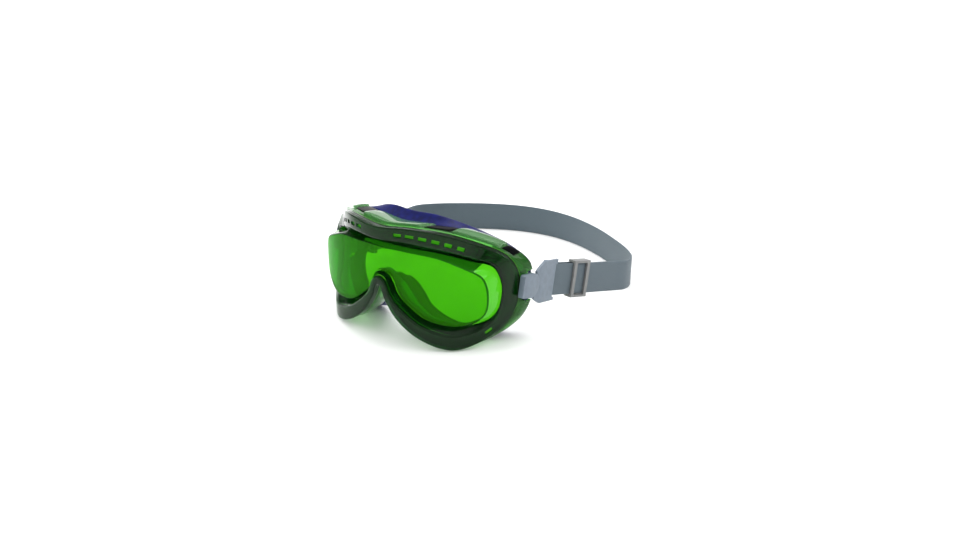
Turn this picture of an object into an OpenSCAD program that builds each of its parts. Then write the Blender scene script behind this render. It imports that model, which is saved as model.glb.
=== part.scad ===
// Wraparound welding goggles with a dished filter lens, a vented two-part frame,
// a soft face seal and a pivoting elastic headband with a sliding adjuster each side.
// +X is the wearer's left, -Y is forwards and +Z is up. The goggles stand as on a table:
// on the lower rims, with the back of the headband drooped to the same level.

/* [Lens] */
// Plan radius of the lens front
lens_r = 104; // [90:1:130]
// Distance of the lens centre in front of the origin plane
lens_front = 31; // [26:0.5:36]
// Thickness of the lens
lens_t = 2; // [1.5:0.1:3]

/* [Front frame] */
// Wall thickness of the frame and the housing
wall = 1.9; // [1.4:0.1:3]
// Width of one brow vent window
window_w = 5.4; // [3:0.1:8]
// Height of one brow vent window
window_h = 2.6; // [2:0.1:5]

/* [Face seal] */
// Width of the seal's inward lip against the face
lip_w = 7; // [4:0.5:10]

/* [Headband pivot] */
// Distance of the pivot axis behind the origin plane
pivot_y = 28.5; // [27.5:0.5:29.5]
// Height of the pivot axis
pivot_z = 36.4; // [34:0.2:40]
// Radius of the pivot pin
pin_r = 2.5; // [1.5:0.1:3.5]
// Radial clearance of the clip on its pin
pin_gap = 0.05; // [0.02:0.01:0.1]
// Droop of the clip and the strap below level
droop = 14; // [0:1:25]

/* [Headband] */
// Width of the elastic strap
strap_w = 22; // [18:1:30]
// Thickness of the elastic strap
strap_t = 1.2; // [0.8:0.1:2]
// Outward splay of the strap from the clip, seen from above
splay = 16.5; // [0:0.5:25]
// Distance from the clip's bar to the middle of the adjuster
slider_at = 30; // [20:1:45]
// Length of the adjuster along the strap
slider_l = 15.4; // [12:0.1:20]

/* [Hidden] */
// What the seal's lip loses in width beside the nose
lip_narrow = 3.4;

// Outlines of the wearer's left half, from the top centre round the side to the middle of
// the nose arch. Every outline has the same number of stations.
// Edge of the lens's front face, [x, z], on the lens's arc
lens_outline = [
    [0, 67.8], [20, 67.4], [39, 65.3], [53.5, 59.3], [62.5, 53.5], [65.8, 46], [66.5, 36],
    [65.2, 27.2], [60.5, 21.3], [52.6, 17.6], [43.3, 17.4], [30, 20.6], [17.2, 29.8],
    [10.9, 36.8], [6.2, 47], [0, 49.8]
];
// Opening of the front frame, where the lens's foot sits, [x, y, z]
seat_outline = [
    [0, -27.5, 69], [19, -25.6, 68.7], [37, -17, 65.8], [50.5, -3.5, 59], [62.3, 4.5, 55.2],
    [66.9, 7.2, 46.4], [67.5, 8.1, 36.4], [66.2, 4.5, 24], [61.7, -3, 17.8],
    [52, -12.3, 15.9], [43, -17.4, 15.9], [29.3, -22.9, 19.6], [16.4, -26.1, 28.9],
    [9.9, -27, 36.4], [5.2, -27.4, 46.2], [0, -27.5, 48.8]
];
// Inner edge of the frame's crest, [x, y, z]
crest_outline = [
    [0, -37, 75.2], [19.7, -32.9, 75.4], [37.2, -21.3, 70.4], [51.3, -7.2, 62.9],
    [63.9, 1.9, 58], [68.5, 6.1, 47.4], [69, 7.1, 36], [67.6, 3.4, 22.4], [62.7, -4.5, 13.8],
    [52, -18, 10.8], [42.5, -25.5, 12], [28.5, -32, 18.2], [15.7, -35.5, 28.1],
    [8.7, -36.5, 36], [4.8, -36.9, 45.4], [0, -37, 48.4]
];
// Outer edge of the frame's crest, [x, y, z]
rim_outline = [
    [0, -37, 83.8], [20.7, -32.8, 84.8], [39, -19.2, 80], [54.5, -2.1, 70.6],
    [67, 9.8, 61.8], [72.2, 15.7, 49.2], [72.8, 16.2, 33.6], [70.5, 10.9, 18.7],
    [64, -1.9, 7.5], [52.5, -17.4, 1.3], [41, -26.3, 2.4], [26, -32.9, 9.6],
    [13.2, -36, 20.4], [5.2, -36.9, 32.6], [2.4, -37, 40.3], [0, -37, 43.2]
];
// Rear edge of the housing, [x, y, z]
housing_outline = [
    [0, -2, 75], [19, 1.5, 75.2], [37.5, 8.9, 73.9], [54, 18.6, 68], [67.5, 26.1, 60.8],
    [75.5, 30.5, 52], [77.5, 31.5, 40], [76.5, 30, 25], [71, 24, 11.5], [60, 15, 3],
    [46, 6.5, 0.8], [29, -1, 5.5], [15.5, -7, 17], [8, -10, 28.5], [4, -11.5, 35.5],
    [0, -12, 38.5]
];
// Outer edge of the seal's lip, [x, y, z]
seal_outline = [
    [0, 5, 81.5], [17, 8, 81], [31, 15.1, 76.1], [44, 25.5, 68], [57, 33.2, 60.2],
    [66.5, 37.6, 51], [70, 39.6, 38.4], [70, 37.5, 25.2], [66.5, 31, 13], [58, 24, 4],
    [44.5, 16, 0], [28.5, 9, 2], [15.5, 2, 12], [9, -1, 23.5], [5, -2.5, 30], [0, -3, 33]
];
last = len(lens_outline) - 1;
steps = 4;
half_n = last * steps;
ring_n = 2 * half_n;
// Share of the way from the crest to the housing's rear at which the two shells part
part_share = 0.24;
frame_gap = 0.3;
// Stations of the first brow window, of the step to the next and of the low window
window_first = 0.76;
window_pitch = 0.38;
window_low = 7.9;
rows = 6;

// Stack of the pivot, measured from the middle plane outwards
pocket_x = 72.9;
eye_x = 73.1;
eye_t = 1.5;
cover_x = 75.4;
plate_x = 77.1;
plate_t = 1.8;
cover_t = plate_x + plate_t + 0.3 - cover_x;
eye_r = 7.3;
tongue_r = 8.4;
pocket_r = 10.9;
// Block that backs the pocket and holds the pin
block_y = 21;
block_l = 10.2;
block_h = 20;
// Play of the pin in the two parts that hold it
press_gap = 0.02;

// Strap bar of the clip and the layers of strap around it
bar_r = 1.5;
ear_w = 4;
bar_x = 72.8;
bar_y = 27;
layer = bar_r + 0.1 + strap_t / 2;
run_l = 66;
slider_bar_w = 2.6;
slider_bar_r = 0.8;
slider_bar_x = -0.75;
slider_h = 26;

// Middle line of the strap behind the straight run, left half, [x, y, z]
back_route = [
    [97.4, 128.5, 11.8], [95.4, 139.5, 11.2], [86, 150.3, 11], [70, 161.7, 11],
    [49, 174, 11], [25, 183.5, 11], [0, 187, 11]
];

// The origin is under the middle of the whole object
origin_y = 75.3;

$fn = 48;

// ---- Curves ----------------------------------------------------------------

function mirrored(p) = [for (k = [0 : len(p) - 1]) k == 0 ? -p[0] : p[k]];

// Control point i of an outline, reflected past both ends
function control(c, i) =
    i < 0 ? mirrored(c[-i]) :
    i > len(c) - 1 ? mirrored(c[2 * (len(c) - 1) - i]) : c[i];

// Smooth curve through four control points
function blend_4(a, b, c, d, u) =
    0.5 * (2 * b + (c - a) * u + (2 * a - 5 * b + 4 * c - d) * u * u
        + (3 * b - a - 3 * c + d) * u * u * u);

// Point at station t of a half outline
function on(c, t) =
    let (i = min(floor(t), len(c) - 2))
    blend_4(control(c, i - 1), control(c, i), control(c, i + 1), control(c, i + 2), t - i);

// Bow of a plan arc at sideways distance x
function bow(r, front, x) = r - front - sqrt(r * r - x * x);

function lens_at(t) = let (p = on(lens_outline, t)) [p[0], bow(lens_r, lens_front, p[0]), p[1]];
function seat_at(t) = on(seat_outline, t);
function crest_at(t) = on(crest_outline, t);
function rim_at(t) = on(rim_outline, t);

// Unit vector at station t, in the X-Z plane, from the rim in towards the opening
function inward(t) =
    let (v = crest_at(t) - rim_at(t), l = norm([v[0], v[2]])) [v[0] / l, 0, v[2] / l];

// Point p moved a millimetres inwards and b millimetres backwards
function move(p, n, a, b) = p + a * n + [0, b, 0];

// Outer edge where the front frame meets the housing
function part_at(t) =
    let (c = rim_at(t), d = on(housing_outline, t)) c + part_share * (d - c) - 0.3 * inward(t);

// Housing's outer surface at share s from its front edge to its rear edge
function housing_at(t, s) =
    let (a = part_at(t) + [0, frame_gap, 0], b = on(housing_outline, t))
    a + s * (b - a) - 4 * s * (1 - s) * inward(t);

// ---- Solids from sections --------------------------------------------------

// Closed loop of sections; each section is a list of points in the same order
module ring_solid(sections) {
    n = len(sections);
    m = len(sections[0]);
    points = [for (s = sections) each s];
    faces = [for (j = [0 : n - 1]) for (k = [0 : m - 1])
        let (a = j * m + k, b = j * m + (k + 1) % m, c = ((j + 1) % n) * m + (k + 1) % m,
             d = ((j + 1) % n) * m + k)
        each [[a, b, c], [a, c, d]]];
    polyhedron(points, faces, convexity = 10);
}

// Open run of sections, closed with a flat fan at each end
module run_solid(sections) {
    n = len(sections);
    m = len(sections[0]);
    points = [for (s = sections) each s];
    sides = [for (j = [0 : n - 2]) for (k = [0 : m - 1])
        let (a = j * m + k, b = j * m + (k + 1) % m, c = (j + 1) * m + (k + 1) % m,
             d = (j + 1) * m + k)
        each [[a, b, c], [a, c, d]]];
    first_end = [for (k = [1 : m - 2]) [0, k + 1, k]];
    last_end = [for (k = [1 : m - 2]) [(n - 1) * m, (n - 1) * m + k, (n - 1) * m + k + 1]];
    polyhedron(points, concat(sides, first_end, last_end), convexity = 10);
}

function reflected(s) = [for (p = s) mirrored(p)];
function full_ring(half) =
    [for (j = [0 : ring_n - 1]) j <= half_n ? half[j] : reflected(half[ring_n - j])];

// Whole object moved so that the origin is under its middle
module placed() {
    translate([0, -origin_y, 0]) children();
}

// Both sides: children made for +X and reflected for -X
module side(s) {
    if (s > 0) children();
    else mirror([1, 0, 0]) children();
}

// ---- Lens ------------------------------------------------------------------

function lens_inner_at(t) =
    let (n = inward(t), p = lens_at(t) + 1.6 * n)
    [p[0], bow(lens_r, lens_front, p[0]) + lens_t, p[2]];

// Grid of points between the upper and lower stretch of a half ring, without its border
function cap_points(ring, back) =
    [for (i = [0 : half_n / 2 - 1]) for (r = [1 : rows - 1])
        let (p = ring[i] + (r / rows) * (ring[half_n - i] - ring[i]))
        [p[0], bow(lens_r, lens_front, p[0]) + back, p[2]]];

module lens() {
    outer = [for (j = [0 : half_n]) lens_at(j / steps)];
    inner = [for (j = [0 : half_n]) lens_inner_at(j / steps)];
    foot = [for (j = [0 : half_n]) move(seat_at(j / steps), inward(j / steps), 0, 1.5)];
    foot_in = [for (j = [0 : half_n]) move(seat_at(j / steps), inward(j / steps), 1.6, 1.5)];
    rings = [outer, foot, foot_in, inner];
    // Full rings first, then the grids: front right, front left, back right, back left
    front = cap_points(outer, 0);
    back = cap_points(inner, lens_t);
    points = concat([for (r = rings) each full_ring([for (p = r) [p]])],
        [for (p = front) [p]], [for (p = front) [mirrored(p)]],
        [for (p = back) [p]], [for (p = back) [mirrored(p)]]);
    flat = [for (p = points) p[0]];
    walls = [for (k = [0 : 2]) for (j = [0 : ring_n - 1])
        let (a = k * ring_n + j, b = k * ring_n + (j + 1) % ring_n)
        each [[a, a + ring_n, b], [b, a + ring_n, b + ring_n]]];
    color([0.3, 0.78, 0.1, 0.6]) placed() polyhedron(flat, concat(walls,
        cap_faces(0, 4 * ring_n, false, false),
        cap_faces(0, 4 * ring_n + len(front), true, false),
        cap_faces(3 * ring_n, 4 * ring_n + 2 * len(front), false, true),
        cap_faces(3 * ring_n, 4 * ring_n + 3 * len(front), true, true)), convexity = 10);
}

// Index of ring point i, on the reflected side if left
function ring_index(start, i, left) = start + (left ? (ring_n - i) % ring_n : i);

// Index of grid point (column i, row r); rows 0 and last are ring points
function cap_index(start, grid, left, i, r) =
    r == 0 || i == half_n / 2 ? ring_index(start, i, left) :
    r == rows ? ring_index(start, half_n - i, left) :
    // The middle column belongs to the right-hand grid on both sides
    (left && i == 0 ? grid - (half_n / 2) * (rows - 1) : grid) + i * (rows - 1) + r - 1;

function cap_faces(start, grid, left, flip) =
    [for (i = [0 : half_n / 2 - 1]) for (r = [0 : rows - 1])
        let (a = cap_index(start, grid, left, i, r), b = cap_index(start, grid, left, i + 1, r),
             c = cap_index(start, grid, left, i + 1, r + 1),
             d = cap_index(start, grid, left, i, r + 1),
             turn = left == flip)
        each i == half_n / 2 - 1
            ? [turn ? [a, b, d] : [a, d, b]]
            : (turn ? [[a, b, c], [a, c, d]] : [[a, c, b], [a, d, c]])];

// Soft gasket between the lens's foot and the housing's ledge
module lens_gasket() {
    color([0.06, 0.08, 0.06]) placed() ring_solid(full_ring([for (j = [0 : half_n])
        let (t = j / steps, b = seat_at(t), n = inward(t))
        [move(b, n, 1.4, 1.7), move(b, n, -0.6, 1.7), move(b, n, -0.6, 3.1),
         move(b, n, 1.4, 3.1)]]));
}

// ---- Front frame -----------------------------------------------------------

module front_shell() {
    ring_solid(full_ring([for (j = [0 : half_n])
        let (t = j / steps, n = inward(t), b = seat_at(t), k = crest_at(t), c = rim_at(t),
             p = part_at(t))
        [move(b, n, -0.35, -1), k, c, p, move(p, n, wall, 0), move(c, n, 1.6, 1.4),
         move(k, n, -0.5, 2), move(b, n, -0.35, 0.8)]]));
}

function unit(v) = v / norm(v);

// One vent window through the band at station t, square to its face
module window(t) {
    c = crest_at(t);
    r = rim_at(t);
    u = unit(crest_at(t + 0.05) + rim_at(t + 0.05) - c - r);
    w = unit(r - c - ((r - c) * u) * u);
    v = cross(w, u);
    m = 0.58 * c + 0.42 * r;
    multmatrix([for (i = [0 : 2]) [u[i], v[i], w[i], m[i]]])
        cube([window_w, 10, window_h], center = true);
}

module front_frame() {
    color([0.16, 0.3, 0.18]) placed() difference() {
        front_shell();
        for (s = [1, -1])
            side(s) {
                for (k = [0 : 5]) window(window_first + window_pitch * k);
                window(window_low);
            }
    }
}

// ---- Rear housing ----------------------------------------------------------

module housing_shell() {
    ring_solid(full_ring([for (j = [0 : half_n])
        let (t = j / steps, n = inward(t), b = seat_at(t), p = part_at(t),
             m = housing_at(t, 0.5), d = on(housing_outline, t))
        [move(p, n, 0, frame_gap), m, d, move(d, n, wall, 0), move(m, n, wall, 0),
         move(p, n, wall, 4.5), move(b, n, -0.9, 5), move(b, n, 1.2, 5), move(b, n, 1.2, 3.3),
         move(b, n, -0.9, 3.3), move(p, n, wall, frame_gap)]]));
}

module rear_housing() {
    color([0.3, 0.48, 0.26]) placed() difference() {
        union() {
            housing_shell();
            for (s = [1, -1])
                side(s)
                    translate([pocket_x - 2, block_y, pivot_z - block_h / 2])
                        cube([3.4, block_l, block_h]);
        }
        for (s = [1, -1])
            side(s)
                translate([pocket_x, pivot_y, pivot_z])
                    rotate([0, 90, 0]) {
                        cylinder(r = pocket_r, h = 8);
                        translate([0, 0, -4]) cylinder(r = pin_r + press_gap, h = 8);
                    }
    }
}

// ---- Vents on top of the housing -------------------------------------------

// Pad on the housing's outer surface between stations t0 and t1
module vent_pad(t0, t1, s0, s1, low, high) {
    count = max(4, ceil(abs(t1 - t0) * steps * 1.5));
    run_solid([for (j = [0 : count])
        let (t = t0 + (t1 - t0) * j / count, back = t < 0, a = abs(t),
             s = [for (q = [[s0, low], [s0, high], [(s0 + s1) / 2, high], [s1, high], [s1, low],
                            [(s0 + s1) / 2, low]])
                  housing_at(a, q[0]) - q[1] * inward(a)])
        back ? reflected(s) : s]);
}

module vent_cover(s) {
    color([0.5, 0.64, 0.5]) placed() side(s) vent_pad(2.05, 3.6, 0.14, 0.9, 0.05, 2);
}

// Black louvre between the covers
module vent_insert(s, t0, t1) {
    color([0.03, 0.03, 0.05]) placed() side(s) vent_pad(t0, t1, 0.2, 0.85, 0.05, 0.6);
}

module vent_cover_centre() {
    color([0.5, 0.64, 0.5]) placed() vent_pad(-1.15, 1.15, 0.14, 0.9, 0.05, 1.6);
}

module vent_cover_left() { vent_cover(1); }
module vent_cover_right() { vent_cover(-1); }
module vent_insert_left_inner() { vent_insert(1, 1.2, 2); }
module vent_insert_right_inner() { vent_insert(-1, 1.2, 2); }
module vent_insert_left_outer() { vent_insert(1, 3.65, 4.25); }
module vent_insert_right_outer() { vent_insert(-1, 3.65, 4.25); }

// ---- Face seal -------------------------------------------------------------

// Lip's width: full round the brow and cheeks, narrow beside the nose
function lip_at(t) = lip_w - lip_narrow * min(1, max(0, (t - 8) / 2));

module seal_ring() {
    ring_solid(full_ring([for (j = [0 : half_n])
        let (t = j / steps, n = inward(t), d = on(housing_outline, t), e = on(seal_outline, t),
             m = (d + e) / 2)
        [move(d, n, wall + 1.4, -3.6), move(d, n, wall + 0.3, 0.3), move(d, n, 0, 0.3),
         move(m, n, 0.3, 0.3), e, move(e, n, lip_at(t), 1.5), move(e, n, lip_at(t), 0),
         move(e, n, 3, -0.6), move(d, n, 4.4, 0.5), move(d, n, 4.6, -3.6)]]));
}

// Ring relieved at both pivots for the housing's block and for the clip's swing
module face_seal() {
    color([0.12, 0.12, 0.42]) placed() difference() {
        seal_ring();
        for (s = [1, -1])
            side(s) {
                translate([pocket_x - 2.4, block_y, pivot_z - block_h / 2 - 0.4])
                    cube([20, block_l + 0.4, block_h + 0.8]);
                at_pivot(pocket_x - 0.4) cylinder(r = pocket_r + 3, h = 12);
            }
    }
}

// ---- Pivot -----------------------------------------------------------------

// Frame of the pivot axis: local Z points outwards along X, local X is back, local Y is up
module at_pivot(x) {
    multmatrix([[0, 0, 1, x], [1, 0, 0, pivot_y], [0, 1, 0, pivot_z], [0, 0, 0, 1]])
        children();
}

// Frame of the clip: as at_pivot, turned down by the droop
module at_clip(x) {
    at_pivot(x) rotate([0, 0, -droop]) children();
}

// Flat tongue snapped into the housing's pocket, covering the clip's eye
module tongue(s) {
    color([0.46, 0.52, 0.59]) placed() side(s) difference() {
        union() {
            at_pivot(cover_x) cylinder(r = tongue_r, h = cover_t);
            at_clip(cover_x + 0.02) linear_extrude(cover_t - 0.04)
                polygon([[-12, 7.2], [-11.2, 7.9], [0, 8.3], [0, -8.3], [-11.2, -7.5],
                         [-12, -6.8]]);
            at_clip(pocket_x + 1.7) linear_extrude(cover_x - pocket_x - 1.2)
                polygon([[-9.1, 4.6], [-7.7, 4.6], [-7.7, -4.6], [-9.1, -4.6]]);
        }
        at_pivot(pocket_x) cylinder(r = pin_r + press_gap, h = cover_x - pocket_x + 1.8);
    }
}

module tongue_left() { tongue(1); }
module tongue_right() { tongue(-1); }

module pivot_pin(s) {
    color([0.6, 0.62, 0.64]) placed() side(s)
        at_pivot(pocket_x - 2) cylinder(r = pin_r, h = cover_x - pocket_x + 3.6);
}

module pivot_pin_left() { pivot_pin(1); }
module pivot_pin_right() { pivot_pin(-1); }

// ---- Strap clip ------------------------------------------------------------

module strap_clip(s) {
    color([0.46, 0.52, 0.59]) placed() side(s) {
        difference() {
            union() {
                // Eye round the pin, and its web out to the step
                at_clip(eye_x) cylinder(r = eye_r, h = eye_t);
                at_clip(eye_x + 0.1) linear_extrude(eye_t - 0.2)
                    polygon([[3.5, 3.6], [3.5, -3.6], [10.5, -5], [10.5, 5]]);
            }
            at_clip(eye_x - 1) cylinder(r = pin_r + pin_gap, h = eye_t + 2);
        }
        // Step out past the tongue, and the outer plate
        at_clip(eye_x + 0.3) translate([9.6, -4.9, 0]) cube([2, 9.8, plate_x + 0.6 - eye_x]);
        difference() {
            at_clip(plate_x) linear_extrude(plate_t)
                polygon([[3.6, 9.4], [8, 12.6], [13, 15.2], [31, 15.2], [31, 12.2],
                         [28.8, 11.6], [28.8, -11], [31, -11.6], [31, -13.6],
                         [12, -13.6], [6.5, -11.2], [3.6, -9.4]]);
            at_clip(plate_x - 1) cylinder(r = tongue_r + 0.4, h = plate_t + 2);
        }
        // Ears and the bar that the strap loops round
        for (z = [-13.2, 11.5])
            at_clip(bar_x - ear_w / 2) translate([bar_y - ear_w / 2, z, 0])
                cube([ear_w, 1.7, plate_x - bar_x + ear_w / 2 + 0.5]);
        at_clip(bar_x) translate([bar_y, 12, 0]) rotate([90, 0, 0]) cylinder(r = bar_r, h = 24);
    }
}

module strap_clip_left() { strap_clip(1); }
module strap_clip_right() { strap_clip(-1); }

// ---- Strap frame -----------------------------------------------------------

// Frame of the straight run: origin at the clip's bar, local X outwards, local Y along the
// strap towards the back, local Z across its width
module at_strap() {
    translate([bar_x, pivot_y, pivot_z]) rotate([-droop, 0, 0]) translate([0, bar_y, 0])
        rotate([0, 0, -splay]) children();
}

// A point of that frame in the goggles' own frame
function from_strap(p) =
    let (x = p[0] * cos(splay) + p[1] * sin(splay),
         y = -p[0] * sin(splay) + p[1] * cos(splay) + bar_y)
    [bar_x + x, pivot_y + y * cos(droop) + p[2] * sin(droop),
     pivot_z - y * sin(droop) + p[2] * cos(droop)];

// Rounded bar frame of the adjuster with its inner cross bar
module adjuster(s) {
    outer_x = layer + strap_t / 2 + 0.3;
    color([0.54, 0.54, 0.55]) placed() side(s) at_strap() translate([0, slider_at, 0]) {
        for (y = [-1, 1])
            translate([outer_x, y * (slider_l - slider_bar_w - 0.4) / 2 - slider_bar_w / 2,
                       -slider_h / 2 + 1])
                cube([1.8, slider_bar_w, slider_h - 2]);
        for (z = [-1, 1])
            translate([slider_bar_x - slider_bar_r - 0.2, -slider_l / 2,
                       z * (slider_h / 2 - 0.8) - 0.8])
                cube([outer_x + 2 - slider_bar_x + slider_bar_r, slider_l, 1.6]);
        translate([slider_bar_x, 0, -slider_h / 2 + 0.5])
            cylinder(r = slider_bar_r, h = slider_h - 1);
    }
}

module adjuster_left() { adjuster(1); }
module adjuster_right() { adjuster(-1); }

// ---- Strap -----------------------------------------------------------------

// Rectangular strap section at p, with width along w and thickness along m
function strap_section(p, w, m) =
    [for (q = [[-1, -1], [1, -1], [1, 1], [-1, 1]])
        p + q[0] * strap_t / 2 * m + q[1] * strap_w / 2 * w];

// Sections round the clip's bar and along the straight run
straight_local = concat(
    [for (a = [180 : 22.5 : 360]) [layer * cos(a), layer * sin(a), cos(a), sin(a)]],
    [for (y = [run_l / 3, run_l * 2 / 3, run_l]) [layer, y, 1, 0]]);
straight_sections = [for (q = straight_local)
    let (p = from_strap([q[0], q[1], 0]),
         w = from_strap([q[0], q[1], 1]) - p,
         m = from_strap([q[0] + q[2], q[1] + q[3], 0]) - p)
    strap_section(p, w, m)];

// Sections behind it, with the width turning upright
back_points = concat([from_strap([layer, run_l - 8, 0]), from_strap([layer, run_l, 0])],
    back_route);
back_steps = 4;
back_n = len(back_route) * back_steps;
function back_at(u) =
    let (i = floor(u), n = len(back_points))
    blend_4(back_points[i - 1], back_points[i], back_points[min(i + 1, n - 1)],
        i + 2 < n ? back_points[i + 2] : mirrored(back_points[n - 2]), u - i);
function back_section(j) =
    let (u = 1 + j / back_steps, p = back_at(u), a = back_at(max(1, u - 0.05)),
         b = j == back_n ? mirrored(back_at(u - 0.05)) : back_at(u + 0.05),
         d = (b - a) / norm(b - a),
         share = min(1, j / (2.5 * back_steps)),
         lean = [0, sin(droop) * (1 - share), 1 - (1 - cos(droop)) * (1 - share)],
         v = lean - (lean * d) * d, w = v / norm(v))
    strap_section(p, w, cross(d, w));
back_sections = [for (j = [1 : back_n]) back_section(j)];

module headband() {
    left = concat(straight_sections, back_sections);
    // The reflected half runs the other way, and its corners swap sides in thickness
    right = [for (j = [len(left) - 2 : -1 : 0])
        [for (k = [0 : 3]) mirrored(left[j][k])]];
    color([0.38, 0.43, 0.46]) placed() run_solid(concat(left, right));
}

// Inner layer from the clip's bar to the adjuster, looped round its cross bar
module strap_tail(s) {
    color([0.38, 0.43, 0.46]) placed() side(s) at_strap() {
        translate([-layer - strap_t / 2, 0.2, -strap_w / 2])
            cube([strap_t, slider_at - 0.2, strap_w]);
        translate([slider_bar_x, slider_at, -strap_w / 2])
            rotate_extrude(angle = 180)
                translate([slider_bar_r + 0.1, 0]) square([1.15, strap_w]);
    }
}

module strap_tail_left() { strap_tail(1); }
module strap_tail_right() { strap_tail(-1); }

lens();
lens_gasket();
front_frame();
rear_housing();
face_seal();
vent_cover_centre();
vent_cover_left();
vent_cover_right();
vent_insert_left_inner();
vent_insert_right_inner();
vent_insert_left_outer();
vent_insert_right_outer();
tongue_left();
tongue_right();
pivot_pin_left();
pivot_pin_right();
strap_clip_left();
strap_clip_right();
adjuster_left();
adjuster_right();
headband();
strap_tail_left();
strap_tail_right();
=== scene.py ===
"""Wraparound welding goggles: filter lens, vented frame and housing, face seal,
pivoting clips, sliding adjusters and a woven headband.

+X is the wearer's left, -Y is forwards and +Z is up. Lengths in the drawing part are
millimetres from the origin plane, as in the part's own design, and place() turns them
into metres in the shared frame.
"""
import math

import bmesh
import bpy
import numpy as np
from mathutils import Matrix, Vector


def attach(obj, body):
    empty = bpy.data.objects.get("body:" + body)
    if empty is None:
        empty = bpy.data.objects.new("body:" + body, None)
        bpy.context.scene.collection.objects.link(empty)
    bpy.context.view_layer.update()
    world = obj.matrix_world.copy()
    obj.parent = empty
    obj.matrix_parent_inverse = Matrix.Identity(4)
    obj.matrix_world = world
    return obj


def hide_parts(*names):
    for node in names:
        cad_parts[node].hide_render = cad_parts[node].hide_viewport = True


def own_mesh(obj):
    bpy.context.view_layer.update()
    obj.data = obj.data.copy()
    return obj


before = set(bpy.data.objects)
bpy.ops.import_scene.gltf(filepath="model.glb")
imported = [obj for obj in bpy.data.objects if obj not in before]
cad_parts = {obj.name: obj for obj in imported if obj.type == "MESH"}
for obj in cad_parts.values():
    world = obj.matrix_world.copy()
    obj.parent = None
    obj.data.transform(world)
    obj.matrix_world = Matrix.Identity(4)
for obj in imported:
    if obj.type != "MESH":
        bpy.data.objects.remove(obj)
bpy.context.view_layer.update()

MM = 0.001
ORIGIN_Y = 75.3

# ---- The design's driving sizes ---------------------------------------------------

LENS_R, LENS_FRONT, LENS_T = 104, 31, 2
WALL = 1.9
WINDOW_W, WINDOW_H = 5.4, 2.6
# Stations of the brow windows, from the middle outwards, and of the low window
WINDOW_STATIONS = [0.76 + 0.38 * k for k in range(6)] + [7.9]
LIP_W, LIP_NARROW = 7, 3.4
PIVOT_Y, PIVOT_Z = 28.5, 36.4
DROOP, SPLAY = math.radians(14), math.radians(16.5)
STRAP_W, STRAP_T = 22, 1.2
SLIDER_AT, SLIDER_TRAVEL = 30, 14
BAR_R, BAR_X, BAR_Y = 1.5, 72.8, 27
LAYER = BAR_R + 0.1 + STRAP_T / 2
RUN_L = 66
SLIDER_BAR_R, SLIDER_BAR_X = 0.8, -0.75
PART_SHARE, FRAME_GAP = 0.24, 0.3
POCKET_X, POCKET_R = 72.9, 10.9
BLOCK_Y, BLOCK_L, BLOCK_H = 21, 10.2, 20

# Outlines of the wearer's left half, from the top centre round the side to the nose arch
LENS = [(0, 67.8), (20, 67.4), (39, 65.3), (53.5, 59.3), (62.5, 53.5), (65.8, 46),
        (66.5, 36), (65.2, 27.2), (60.5, 21.3), (52.6, 17.6), (43.3, 17.4), (30, 20.6),
        (17.2, 29.8), (10.9, 36.8), (6.2, 47), (0, 49.8)]
SEAT = [(0, -27.5, 69), (19, -25.6, 68.7), (37, -17, 65.8), (50.5, -3.5, 59), (62.3, 4.5, 55.2),
        (66.9, 7.2, 46.4), (67.5, 8.1, 36.4), (66.2, 4.5, 24), (61.7, -3, 17.8),
        (52, -12.3, 15.9), (43, -17.4, 15.9), (29.3, -22.9, 19.6), (16.4, -26.1, 28.9),
        (9.9, -27, 36.4), (5.2, -27.4, 46.2), (0, -27.5, 48.8)]
CREST = [(0, -37, 75.2), (19.7, -32.9, 75.4), (37.2, -21.3, 70.4), (51.3, -7.2, 62.9),
         (63.9, 1.9, 58), (68.5, 6.1, 47.4), (69, 7.1, 36), (67.6, 3.4, 22.4),
         (62.7, -4.5, 13.8), (52, -18, 10.8), (42.5, -25.5, 12), (28.5, -32, 18.2),
         (15.7, -35.5, 28.1), (8.7, -36.5, 36), (4.8, -36.9, 45.4), (0, -37, 48.4)]
RIM = [(0, -37, 83.8), (20.7, -32.8, 84.8), (39, -19.2, 80), (54.5, -2.1, 70.6),
       (67, 9.8, 61.8), (72.2, 15.7, 49.2), (72.8, 16.2, 33.6), (70.5, 10.9, 18.7),
       (64, -1.9, 7.5), (52.5, -17.4, 1.3), (41, -26.3, 2.4), (26, -32.9, 9.6),
       (13.2, -36, 20.4), (5.2, -36.9, 32.6), (2.4, -37, 40.3), (0, -37, 43.2)]
HOUSING = [(0, -2, 75), (19, 1.5, 75.2), (37.5, 8.9, 73.9), (54, 18.6, 68),
           (67.5, 26.1, 60.8), (75.5, 30.5, 52), (77.5, 31.5, 40), (76.5, 30, 25),
           (71, 24, 11.5), (60, 15, 3), (46, 6.5, 0.8), (29, -1, 5.5), (15.5, -7, 17),
           (8, -10, 28.5), (4, -11.5, 35.5), (0, -12, 38.5)]
SEAL = [(0, 5, 81.5), (17, 8, 81), (31, 15.1, 76.1), (44, 25.5, 68), (57, 33.2, 60.2),
        (66.5, 37.6, 51), (70, 39.6, 38.4), (70, 37.5, 25.2), (66.5, 31, 13), (58, 24, 4),
        (44.5, 16, 0), (28.5, 9, 2), (15.5, 2, 12), (9, -1, 23.5), (5, -2.5, 30), (0, -3, 33)]
BACK_ROUTE = [(97.4, 128.5, 11.8), (95.4, 139.5, 11.2), (86, 150.3, 11), (70, 161.7, 11),
              (49, 174, 11), (25, 183.5, 11), (0, 187, 11)]

STEPS = 8                            # stations between two points of an outline
HALF_N = (len(LENS) - 1) * STEPS
RING_N = 2 * HALF_N


# ---- Curves -----------------------------------------------------------------------

def vec(*p):
    return np.array(p, float)


def unit(v):
    return v / np.linalg.norm(v)


def mirrored(p):
    return p * vec(-1, 1, 1)[: len(p)] if len(p) == 3 else p * vec(-1, 1)


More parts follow.
